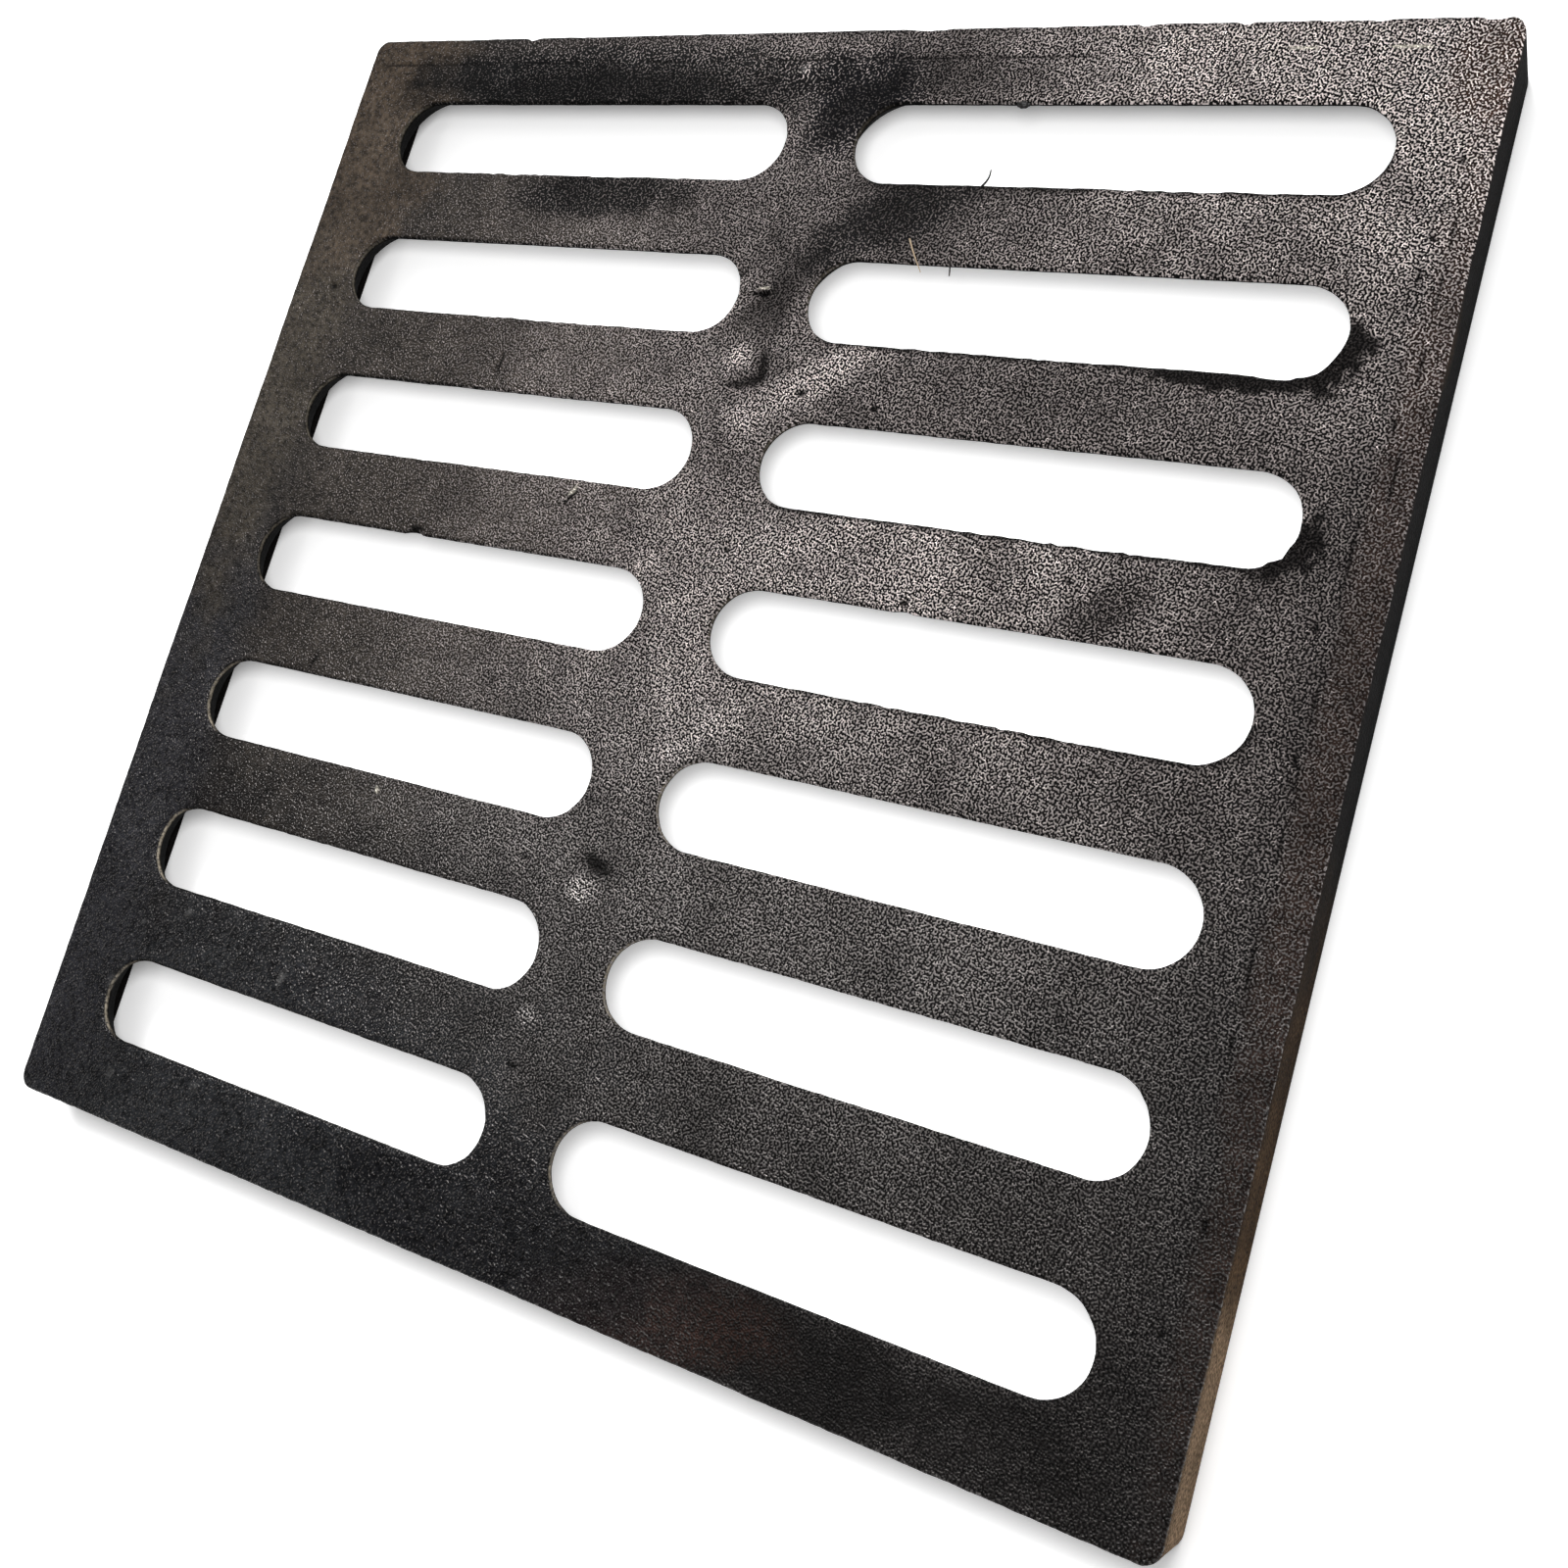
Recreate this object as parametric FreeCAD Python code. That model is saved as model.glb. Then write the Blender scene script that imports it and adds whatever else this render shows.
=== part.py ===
import FreeCAD, Part
import math
import os

# A square gully grate, cast in one piece in grey iron.
# Round-ended slots drain the road, the bars between them taper downwards so that
# nothing jams, and a rim round the underside carries the grate in its frame.
# Lengths are in mm and angles in degrees. X runs along the slots and Z is up.
# The origin is the middle of the plane on which the rim stands.

# Outline of the casting
side_length = 300.0
corner_radius = 4.0
overall_depth = 18.0
side_draft = 0.5
outer_edge_radius = 0.6

# Slots
slot_columns = 2
slot_rows = 7
slot_width = 20.5
border_width = 19.4
centre_bar_width = 19.0
slot_edge_bevel = 0.6
slot_land = 0.7
slot_flare = 5.0

# Bars and rim
bar_depth = 8.0
rim_foot_width = 6.5
rim_draft = 6.0
rim_root_radius = 2.5
pocket_corner_radius = 6.0

# Sizes that follow from those above
top_z = overall_depth
bar_underside_z = overall_depth - bar_depth
flare_top_z = top_z - slot_edge_bevel - slot_land
slot_radius = slot_width / 2
slot_length = (side_length - 2 * border_width - (slot_columns - 1) * centre_bar_width) / slot_columns
column_pitch = slot_length + centre_bar_width
row_pitch = (side_length - 2 * border_width - slot_width) / (slot_rows - 1)
overrun = 1.0


def rounded_square(side, radius, z):
    """Closed wire of a square with arcs at its corners, centred on the Z axis."""
    half = side / 2
    straight = half - radius
    edges = []
    for quarter in range(4):
        turn = FreeCAD.Rotation(FreeCAD.Vector(0, 0, 1), 90 * quarter)
        start = turn.multVec(FreeCAD.Vector(half, -straight, z))
        end = turn.multVec(FreeCAD.Vector(half, straight, z))
        corner = straight + radius * math.cos(math.radians(45))
        middle = turn.multVec(FreeCAD.Vector(corner, corner, z))
        arc_end = turn.multVec(FreeCAD.Vector(straight, half, z))
        edges.append(Part.LineSegment(start, end).toShape())
        edges.append(Part.Arc(end, middle, arc_end).toShape())
    return Part.Wire(edges)


def drafted_block(side, radius, low_z, high_z, draft):
    """Square block whose sides lean inwards as they rise, as a pattern needs."""
    inset = (high_z - low_z) * math.tan(math.radians(draft))
    low_wire = rounded_square(side, radius, low_z)
    high_wire = rounded_square(side - 2 * inset, radius - inset, high_z)
    return Part.makeLoft([low_wire, high_wire], True, True)


def edges_at_height(shape, z):
    """Edges that lie level at the given height."""
    near = 0.001
    level = []
    for edge in shape.Edges:
        box = edge.BoundBox
        if abs(box.ZMin - z) < near and abs(box.ZMax - z) < near:
            level.append(edge)
    return level


def underside_pocket():
    """Hollow inside the rim, with its roof edge rounded where the rim meets the plate."""
    mouth_side = side_length - 2 * rim_foot_width
    pocket = drafted_block(mouth_side, pocket_corner_radius, 0, bar_underside_z, rim_draft)
    pocket = pocket.makeFillet(rim_root_radius, edges_at_height(pocket, bar_underside_z))
    return pocket


def slot_tool():
    """Cutter for one slot, centred on the origin: an upright land over a flared throat."""
    half_run = slot_length / 2 - slot_radius
    wide_radius = slot_radius + slot_flare
    # The flare keeps its slope a little past the underside, so that it cuts clean.
    slope = slot_flare / (flare_top_z - bar_underside_z)
    low_z = bar_underside_z - overrun
    low_radius = wide_radius + slope * overrun
    flare_height = flare_top_z - low_z
    pieces = []
    for end in (-1, 1):
        centre = FreeCAD.Vector(end * half_run, 0, flare_top_z)
        pieces.append(Part.makeCylinder(slot_radius, top_z + overrun - flare_top_z, centre))
        base = FreeCAD.Vector(end * half_run, 0, low_z)
        pieces.append(Part.makeCone(low_radius, slot_radius, flare_height, base))
    profile = [
        FreeCAD.Vector(-half_run, -low_radius, low_z),
        FreeCAD.Vector(-half_run, low_radius, low_z),
        FreeCAD.Vector(-half_run, slot_radius, flare_top_z),
        FreeCAD.Vector(-half_run, slot_radius, top_z + overrun),
        FreeCAD.Vector(-half_run, -slot_radius, top_z + overrun),
        FreeCAD.Vector(-half_run, -slot_radius, flare_top_z),
    ]
    section = Part.Face(Part.makePolygon(profile + profile[:1]))
    middle = section.extrude(FreeCAD.Vector(2 * half_run, 0, 0))
    return middle.fuse(pieces).removeSplitter()


def slot_centres():
    """Centres of all slots in plan."""
    centres = []
    for column in range(slot_columns):
        for row in range(slot_rows):
            x = (column - (slot_columns - 1) / 2) * column_pitch
            y = (row - (slot_rows - 1) / 2) * row_pitch
            centres.append(FreeCAD.Vector(x, y, 0))
    return centres


def gully_grate():
    """The whole casting."""
    plate = drafted_block(side_length, corner_radius, 0, top_z, side_draft)
    plate = plate.makeFillet(outer_edge_radius, edges_at_height(plate, top_z))
    tools = [underside_pocket()]
    for centre in slot_centres():
        tool = slot_tool()
        tool.translate(centre)
        tools.append(tool)
    casting = plate.cut(tools)
    # Level edges in the walking surface belong to slots, apart from the plate's own outline.
    limit = side_length / 2 - border_width / 2
    slot_edges = []
    for edge in edges_at_height(casting, top_z):
        middle = edge.BoundBox.Center
        if abs(middle.x) < limit and abs(middle.y) < limit:
            slot_edges.append(edge)
    return casting.makeChamfer(slot_edge_bevel, slot_edges)


os.makedirs("parts", exist_ok=True)
grate = gully_grate()
grate.exportStep("parts/grate.step")
print("grate: solids", len(grate.Solids), "valid", grate.isValid(), "volume cm3", round(grate.Volume / 1000, 2))
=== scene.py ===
import math

import bmesh
import bpy
import numpy as np
from mathutils import Matrix, Vector, noise
from mathutils.geometry import delaunay_2d_cdt


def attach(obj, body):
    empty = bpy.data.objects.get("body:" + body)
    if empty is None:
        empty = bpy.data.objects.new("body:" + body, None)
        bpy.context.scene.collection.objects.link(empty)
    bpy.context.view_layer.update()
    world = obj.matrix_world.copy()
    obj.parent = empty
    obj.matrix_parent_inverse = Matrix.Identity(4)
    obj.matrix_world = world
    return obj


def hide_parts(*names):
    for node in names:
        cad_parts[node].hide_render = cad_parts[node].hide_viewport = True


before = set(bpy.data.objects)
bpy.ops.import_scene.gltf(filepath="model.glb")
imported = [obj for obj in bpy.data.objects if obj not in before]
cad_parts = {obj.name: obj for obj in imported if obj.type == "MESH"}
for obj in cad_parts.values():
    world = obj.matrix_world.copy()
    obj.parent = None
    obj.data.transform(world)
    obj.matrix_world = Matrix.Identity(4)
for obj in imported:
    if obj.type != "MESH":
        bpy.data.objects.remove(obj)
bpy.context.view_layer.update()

# The casting
# The whole grate is one piece of grey iron, poured in a sand mould. Two columns of slots run along X between
# bars that narrow downwards, and the rim round the underside stands on the ledge of a drain frame.
# Lengths are in mm until the mesh is made, and Z is up.
MM = 0.001
side_length = 300.0
corner_radius = 4.0
overall_depth = 18.0
side_draft = math.tan(math.radians(0.5))
outer_edge_radius = 0.6
foot_edge_radius = 0.4
slot_columns = 2
slot_rows = 7
slot_width = 20.5
border_width = 19.4
centre_bar_width = 19.0
slot_edge_bevel = 0.6
slot_flare = 5.0
bar_depth = 8.0
rim_foot_width = 6.5
rim_draft = math.tan(math.radians(6))
rim_root_radius = 2.5
pocket_corner_radius = 6.0
bar_underside_z = overall_depth - bar_depth
slot_radius = slot_width / 2
slot_length = (side_length - 2 * border_width - centre_bar_width) / slot_columns
column_pitch = slot_length + centre_bar_width
row_pitch = (side_length - 2 * border_width - slot_width) / (slot_rows - 1)
half_run = slot_length / 2 - slot_radius
# How deep the wear of an edge reaches down the outline and down a slot.
outline_wear_depth = 5.0
slot_wear_depth = 3.0
# Stretches of edge that have crumbled: middle, half sizes, turn in degrees and how far the edge has gone back.
crumbled = [
    (123, 71.5, 14, 5.0, -8, 0.5), (128, 34.0, 9, 6.0, -10, 0.45), (96, 108.5, 36, 2.5, 0, 0.25),
    (80, 28.8, 44, 2.0, 0, 0.25), (70, -11.2, 50, 2.0, 0, 0.22), (60, 68.8, 50, 2.0, 0, 0.2),
    (50, 150, 2.5, 3, 0, 1.0), (94, 150, 2.0, 3, 0, 1.1), (144, 150, 3, 3, 0, 0.8), (20, 150, 6, 2, 0, 0.5),
    (-40, 150, 2, 3, 0, 0.6), (-95, 150, 3, 2, 0, 0.6), (70, 150, 5, 2, 0, 0.4), (118, 150, 9, 2, 0, 0.35),
    (-82, 10.4, 3, 1.5, 0, 0.7), (54, 10.4, 1.6, 1.5, 0, 0.5), (-128, -70, 4, 6, 0, 0.3),
    (-64, 70, 30, 1.5, 0, 0.2), (-70, 110, 40, 1.2, 0, 0.15),
]


def smooth(value, low, high):
    """Soft step from 0 at low to 1 at high."""
    share = np.clip((value - low) / (high - low), 0, 1)
    return share * share * (3 - 2 * share)


def swell(x, y, period, seed):
    """Even random field from -1 to 1 whose lumps are about one period across."""
    size = 128
    grid = np.random.default_rng(seed).uniform(-1, 1, (size, size))
    # The offsets put the middle of the plate away from the grid's own lines.
    place_x, place_y = x / period + 31.7, y / period + 17.3
    column, row = np.floor(place_x).astype(int), np.floor(place_y).astype(int)
    blend_x, blend_y = smooth(place_x - column, 0, 1), smooth(place_y - row, 0, 1)
    left, right, low, high = column % size, (column + 1) % size, row % size, (row + 1) % size
    low_value = grid[left, low] * (1 - blend_x) + grid[right, low] * blend_x
    high_value = grid[left, high] * (1 - blend_x) + grid[right, high] * blend_x
    return low_value * (1 - blend_y) + high_value * blend_y


def oval(x, y, middle_x, middle_y, half_x, half_y, turn=0.0):
    """Distance from the middle of a turned oval, 1 on its border."""
    cos_turn, sin_turn = math.cos(math.radians(turn)), math.sin(math.radians(turn))
    along = (x - middle_x) * cos_turn + (y - middle_y) * sin_turn
    across = (y - middle_y) * cos_turn - (x - middle_x) * sin_turn
    return np.sqrt((along / half_x) ** 2 + (across / half_y) ** 2)


def chip(x, y):
    """How far the edge near a place has gone back from its drawn line, in mm."""
    fine = swell(x, y, 1.7, 11)
    amount = 0.09 * fine + 0.08 * swell(x, y, 11.0, 12)
    for *place, depth in crumbled:
        inside = 1 - smooth(oval(x, y, *place), 0.5, 1.1)
        amount = amount + depth * inside * (0.55 + 0.75 * fine)
    return amount


def square_loop(half, radius):
    """Plan points and outward directions of a square with round corners, anticlockwise."""
    straight_steps, corner_steps = 240, 6
    places, ways = [], []
    straight = half - radius
    for quarter in range(4):
        angle = math.radians(90 * quarter)
        out = np.array([math.cos(angle), math.sin(angle)])
        along = np.array([-math.sin(angle), math.cos(angle)])
        for step in range(straight_steps):
            places.append(out * half + along * straight * (2 * step / straight_steps - 1))
            ways.append(out)
        for step in range(corner_steps):
            turn = math.radians(90 * step / corner_steps)
            way = out * math.cos(turn) + along * math.sin(turn)
            places.append((out + along) * straight + way * radius)
            ways.append(way)
    return np.array(places), np.array(ways)


def slot_loop(middle_x, middle_y, radius):
    """Plan points and directions away from the middle of a round-ended slot, anticlockwise."""
    straight_steps, end_steps = 66, 26
    places, ways = [], []
    for side in (1, -1):
        for step in range(end_steps):
            turn = math.radians(180 * step / end_steps - 90)
            way = np.array([math.cos(turn), math.sin(turn)]) * side
            places.append(np.array([middle_x + side * half_run, middle_y]) + way * radius)
            ways.append(way)
        for step in range(straight_steps):
            along = half_run * (1 - 2 * step / straight_steps) * side
            places.append(np.array([middle_x + along, middle_y + side * radius]))
            ways.append(np.array([0, side]))
    return np.array(places), np.array(ways)


def arc_rings(start, end, middle, radius, steps):
    """Distance and height pairs along an arc in section, with angles from the outward level line."""
    rings = []
    for step in range(steps + 1):
        angle = math.radians(start + (end - start) * step / steps)
        rings.append((middle[0] + radius * math.cos(angle), middle[1] + radius * math.sin(angle)))
    return rings


# Outer section, from the walking surface down the side, round the foot and up to the underside.
top_half = side_length / 2 - overall_depth * side_draft
edge_z = overall_depth - outer_edge_radius
outer_section = arc_rings(90, 4, (top_half - outer_edge_radius, edge_z), outer_edge_radius, 4)
outer_section += [(side_length / 2 - z * side_draft, z) for z in (14.5, 11.0, 7.5, 4.0, 1.8)]
foot_middle = (side_length / 2 - foot_edge_radius, foot_edge_radius)
outer_section += arc_rings(0, -90, foot_middle, foot_edge_radius, 2)
mouth_half = side_length / 2 - rim_foot_width
pocket_section = arc_rings(-90, -180, (mouth_half + foot_edge_radius, foot_edge_radius), foot_edge_radius, 2)
pocket_section += [(mouth_half - z * rim_draft, z) for z in (2.5, 5.0)]
root_half = mouth_half - bar_underside_z * rim_draft - rim_root_radius
root_middle = (root_half, bar_underside_z - rim_root_radius)
pocket_section += arc_rings(4, 90, root_middle, rim_root_radius, 4)
# Section of a slot, as distance out from its wall and height: rounded edge, upright land and flared throat.
slot_section = [
    (slot_edge_bevel, overall_depth), (0.28, 17.88), (0.06, 17.66), (0.0, 17.35), (0.0, 16.75), (0.22, 16.3),
    (1.3, 14.8), (2.7, 12.9), (4.1, 11.0), (4.75, 10.12), (slot_flare, bar_underside_z),
]


def ring_stack(places_at, section, wear_depth, wear_way):
    """One closed ring for each step of a section, its edge worn inwards for way 1 and outwards for way -1."""
    rings = []
    for distance, z in section:
        places, ways = places_at(distance)
        worn = chip(places[:, 0], places[:, 1]) * (1 - smooth(overall_depth - z, 0.5, wear_depth))
        places = places - ways * (worn * wear_way)[:, None]
        rings.append(np.c_[places, np.full(len(places), z)])
    return rings


def outer_places(distance):
    """Outer outline, with the corner radius that goes with its distance from the middle."""
    return square_loop(distance, max(corner_radius - (side_length / 2 - distance), 0.2))


def pocket_places(distance):
    """Outline of the hollow inside the rim."""
    return square_loop(distance, pocket_corner_radius - (mouth_half - distance))


slot_middles = [((column - (slot_columns - 1) / 2) * column_pitch, (row - (slot_rows - 1) / 2) * row_pitch)
                for column in range(slot_columns) for row in range(slot_rows)]
loops = [ring_stack(outer_places, outer_section, outline_wear_depth, 1)
         + ring_stack(pocket_places, pocket_section, outline_wear_depth, 1)]
for middle_x, middle_y in slot_middles:
    loops.append(ring_stack(lambda distance: slot_loop(middle_x, middle_y, slot_radius + distance),
                            slot_section, slot_wear_depth, -1))

# The skin and the undersides of the bars
# Moulding sand leaves the walking surface uneven, with small pits, scabs that stand proud and lines where
# the halves of the mould met. Its points lie closer together round each of these.
skin_pitch = 1.15
fine_room = 0.9
edge_room = 0.55
skin_corner_radius = 3.0
underside_pitch = 4.0
underside_room = 1.5
underside_corner_radius = 2.5
# Places in plan: middle, half sizes along and across, turn in degrees and height, below 0 for a hollow.
pits = [
    (-72, 57.5, 3.0, 0.5, 85, -0.5), (-38, 25.5, 2.9, 0.35, 52, -0.3), (-100, -27, 2.3, 0.35, 75, -0.35),
    (34, 55, 1.0, 0.8, 0, -0.6), (-136, 75, 1.1, 0.8, 10, -0.5), (-87, 30, 1.0, 0.6, 80, -0.4),
    (-7, -105, 1.3, 0.7, 0, -0.5), (-60, 62, 1.1, 0.6, 30, -0.3), (-2.8, 80.8, 3.7, 0.5, 7, -0.6),
    (-2.2, 80.6, 1.2, 0.8, 0, -0.5), (-9.6, 85.7, 1.7, 0.5, 50, -0.6), (54, 12.4, 1.0, 0.8, 0, -0.5),
    (-81, 11.6, 2.6, 0.8, 0, -0.4), (142, 101, 0.8, 0.7, 0, -0.4), (141, 93, 0.6, 1.3, 0, -0.4),
    (144, 118, 0.7, 1.0, 0, -0.4), (138, 20, 0.6, 1.1, 0, -0.4), (140, -6, 0.6, 1.2, 0, -0.35),
    (144, -92, 0.6, 1.2, 0, -0.4), (141, -60, 0.5, 1.5, 0, -0.35), (143, 62, 0.6, 1.0, 0, -0.35),
    (-104, 13, 0.7, 0.5, 0, -0.3), (-68, 20, 0.6, 0.5, 0, -0.3), (60, 100, 0.6, 0.5, 0, -0.3),
    (104, -16, 0.6, 0.6, 0, -0.35), (8, 18, 0.9, 0.7, 0, -0.35), (15, 57, 1.2, 0.8, 20, -0.5),
    (47, 62, 0.7, 0.6, 0, -0.4), (76, 58, 0.6, 0.5, 0, -0.4), (40, 20, 0.7, 0.5, 0, -0.4),
    (88, 22, 0.8, 0.6, 0, -0.4), (112, -22, 0.7, 0.6, 0, -0.4), (30, -60, 0.7, 0.6, 0, -0.4),
    (84, -62, 0.6, 0.6, 0, -0.35), (-30, 18, 0.8, 0.6, 40, -0.4), (-44, -22, 0.7, 0.5, 0, -0.35),
    (-20, -60, 0.8, 0.6, 0, -0.4), (-22, 60, 0.7, 0.5, 0, -0.3), (62, -96, 0.6, 0.5, 0, -0.3),
]
scabs = [
    (-2.8, 82.0, 1.6, 0.3, 8, 0.2), (-67, -54, 0.7, 0.8, 0, 0.25),
    (-81, 9.9, 3.0, 0.6, 0, 0.12), (-38, 27, 2.0, 0.4, 52, 0.1),
]
# Lines of the mould, each level or upright in plan: start and end. All are sunk but the second, which is a
# broken ridge.
mould_lines = [(-144.0, 142.0, 62.0, 142.0), (92.0, 143.2, 134.0, 143.2),
               (141.0, -112.0, 141.0, 116.0), (145.4, 30.0, 145.4, 112.0)]
ridge_line = 1


def room_to_slots(x, y):
    """Distance in plan to the wall of the nearest slot, below 0 inside it."""
    nearest = np.full(x.shape, 1e9)
    for middle_x, middle_y in slot_middles:
        past_end = np.maximum(np.abs(x - middle_x) - half_run, 0)
        nearest = np.minimum(nearest, np.hypot(past_end, y - middle_y) - slot_radius)
    return nearest


def inside_square(x, y, half, radius):
    """Distance in plan to a square with round corners, above 0 inside it."""
    past_x, past_y = np.abs(x) - (half - radius), np.abs(y) - (half - radius)
    beyond = np.hypot(np.maximum(past_x, 0), np.maximum(past_y, 0))
    return radius - (beyond + np.minimum(np.maximum(past_x, past_y), 0))


def field_points(pitch):
    """Rows of points set as in a honeycomb over the whole plan."""
    rows = np.arange(-side_length / 2, side_length / 2, pitch * math.sqrt(3) / 2)
    columns = np.arange(-side_length / 2, side_length / 2, pitch)
    x, y = np.meshgrid(columns, rows)
    x = x + (np.arange(len(rows)) % 2)[:, None] * pitch / 2
    return x.ravel(), y.ravel()


def skin_points():
    """Points of the walking surface inside its edges."""
    x, y = field_points(skin_pitch)
    keep = np.ones(len(x), bool)
    fine_x, fine_y = [], []
    margin = 0.3
    for middle_x, middle_y, half_x, half_y, turn, _ in pits + scabs:
        keep &= oval(x, y, middle_x, middle_y, half_x + fine_room, half_y + fine_room, turn) > 1
        columns, rows = max(3, round(2 * half_x / 0.45)), max(3, round(2 * half_y / 0.4))
        along, across = np.meshgrid(np.linspace(-half_x - margin, half_x + margin, columns),
                                    np.linspace(-half_y - margin, half_y + margin, rows))
        cos_turn, sin_turn = math.cos(math.radians(turn)), math.sin(math.radians(turn))
        fine_x.append((middle_x + along * cos_turn - across * sin_turn).ravel())
        fine_y.append((middle_y + along * sin_turn + across * cos_turn).ravel())
    for start_x, start_y, end_x, end_y in mould_lines:
        steps = int(math.hypot(end_x - start_x, end_y - start_y) / 0.8)
        line_x, line_y = np.linspace(start_x, end_x, steps), np.linspace(start_y, end_y, steps)
        level = start_y == end_y
        if level:
            beside = (x > start_x - 1) & (x < end_x + 1) & (np.abs(y - start_y) < fine_room)
        else:
            beside = (y > start_y - 1) & (y < end_y + 1) & (np.abs(x - start_x) < fine_room)
        keep &= ~beside
        for aside in (-0.55, 0.0, 0.55):
            fine_x.append(line_x + (0 if level else aside))
            fine_y.append(line_y + (aside if level else 0))
    x, y = np.concatenate([x[keep], *fine_x]), np.concatenate([y[keep], *fine_y])
    worn = np.maximum(chip(x, y), 0)
    clear = room_to_slots(x, y) > slot_edge_bevel + edge_room + worn
    clear &= inside_square(x, y, outer_section[0][0], skin_corner_radius) > edge_room + worn
    return np.c_[x[clear], y[clear]]


def underside_points():
    """Points of the flat undersides of the bars."""
    x, y = field_points(underside_pitch)
    clear = room_to_slots(x, y) > slot_flare + underside_room
    clear &= inside_square(x, y, root_half, underside_corner_radius) > underside_room
    return np.c_[x[clear], y[clear]]


def sheet(ring_number, field):
    """Triangles of a level sheet between the first or the last rings of all loops."""
    coords, edges, owners = [], [], []
    for loop_number, rings in enumerate(loops):
        ring, first = rings[ring_number], len(coords)
        coords += [Vector(point[:2]) for point in ring]
        owners += [(loop_number, k) for k in range(len(ring))]
        edges += [(first + k, first + (k + 1) % len(ring)) for k in range(len(ring))]
    boundary = len(coords)
    coords += [Vector(point) for point in field]
    _, _, triangles, origins, _, _ = delaunay_2d_cdt(coords, edges, [], 0, 1e-4)
    kept = []
    for triangle in triangles:
        sources = [origins[k][0] for k in triangle]
        if max(sources) < boundary and len({owners[k][0] for k in sources}) == 1:
            # Corners of one loop only: its turning sense says whether it lies inside that loop.
            first, second, third = (coords[k] for k in sorted(sources))
            inside_loop = (second - first).cross(third - first) > 0
            if inside_loop != (owners[sources[0]][0] == 0):
                continue
        kept.append(sources)
    return kept, boundary, owners


points, faces = [], []
first_point = {}
for loop_number, rings in enumerate(loops):
    for ring_number, ring in enumerate(rings):
        first_point[loop_number, ring_number] = len(points)
        points += [tuple(point) for point in ring]
    count = len(rings[0])
    for ring_number in range(len(rings) - 1):
        upper, lower = first_point[loop_number, ring_number], first_point[loop_number, ring_number + 1]
        for here in range(count):
            onward = (here + 1) % count
            quad = (upper + here, lower + here, lower + onward, upper + onward)
            faces.append(quad if loop_number == 0 else quad[::-1])
for ring_number, field, level_z, faces_down in ((0, skin_points(), overall_depth, False),
                                                (-1, underside_points(), bar_underside_z, True)):
    triangles, boundary, owners = sheet(ring_number, field)
    start = len(points) - boundary
    points += [(point_x, point_y, level_z) for point_x, point_y in field]
    for triangle in triangles:
        corners = []
        for source in triangle:
            if source < boundary:
                loop_number, k = owners[source]
                corners.append(first_point[loop_number, ring_number % len(loops[loop_number])] + k)
            else:
                corners.append(start + source)
        faces.append(tuple(corners[::-1] if faces_down else corners))
points = np.array(points)

# Colours of paint, rust and soot, with painted light and shade
# The grate was dipped in black bitumen. The film is brown or worn thin in places and thick and black in
# others, rust stains the sides, soot cakes some slot edges, and feet have rubbed the middle bright. That bright
# middle is partly painted sheen, and painted shade darkens the pits, the slots and the hollows by the bosses.
# Marks of the paint: colour, strength, middle, half sizes, turn, how much of the grain it fills, and gloss.
paint_marks = [
    ("#2c2824", 0.90, (-90, 40), (75, 125), 0, 0.0, 0.28),
    ("#1c1d1f", 0.95, (-90, -140), (130, 62), 0, 0.1, 0.5),
    ("#1e1e21", 0.90, (-142, -60), (22, 110), 0, 0.2, 0.3),
    ("#37322b", 0.80, (-143, 60), (16, 90), 0, 0.5, 0.1),
    ("#3d342b", 0.85, (-136, 122), (28, 46), 0, 0.6, -0.2),
    ("#0f0f12", 0.95, (8, 131), (19, 16), 20, 0.6, -0.3),
    ("#0d0e0f", 0.92, (-58, 105), (32, 8), 4, 0.4, -0.6),
    ("#0d0e0f", 0.95, (-66, 137), (78, 12), 0, 0.5, -0.7),
    ("#0f0f10", 0.90, (24, 101), (28, 9), 28, 0.4, -0.3),
    ("#1b1818", 0.70, (98, 18), (13, 5.5), 38, 0.3, -0.2),
    ("#2f231e", 0.60, (148, 0), (7, 150), 0, 0.2, -0.3),
    ("#36261e", 0.60, (147, 138), (12, 14), 0, 0.3, -0.3),
    ("#2f1f1a", 0.70, (44, -142), (34, 10), 10, 0.2, -0.2),
    ("#121214", 0.80, (0, -138), (60, 22), 0, 0.5, 0.1),
]
# Where soot and thick paint darken film and tops alike, and painted shade in the hollows beside the two bosses:
# strength, middle, half sizes and turn.
sooty_and_shaded = [
    (0.85, (-64, 134.5), (70, 9), 0), (0.65, (-57, 105), (32, 9), 4), (0.85, (8, 131), (18, 14), 20),
    (0.60, (22, 101), (28, 8), 28), (0.45, (40, 110), (34, 4), 0), (0.35, (34, 135), (30, 7), 0),
    (0.50, (98, 18), (14, 6), 38), (0.35, (2, 84), (12, 12), 0), (0.30, (-70, 78), (50, 10), 0),
    (0.97, (127, 73.5), (9.5, 4.2), 42), (0.97, (128, 34.0), (8.5, 4.0), 44),
    (0.90, (112, 69.3), (20, 2.0), -3), (0.95, (3.3, 62.4), (1.5, 5.0), 8), (0.95, (-2.0, 57.9), (5.4, 1.5), 8),
    (0.9, (2.0, 59.2), (2.2, 1.6), 50), (0.95, (-1, -57.6), (5.5, 2.2), -20), (0.35, (150, -20), (14, 110), 0),
]
# Where soot is caked on slot edges in crumbs: middle, half sizes and turn.
caked = [((128.5, 74.5), (11, 6.5), 42), ((130, 35.0), (9.5, 6.5), 50), ((108, 68.2), (26, 2.6), -3)]
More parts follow.
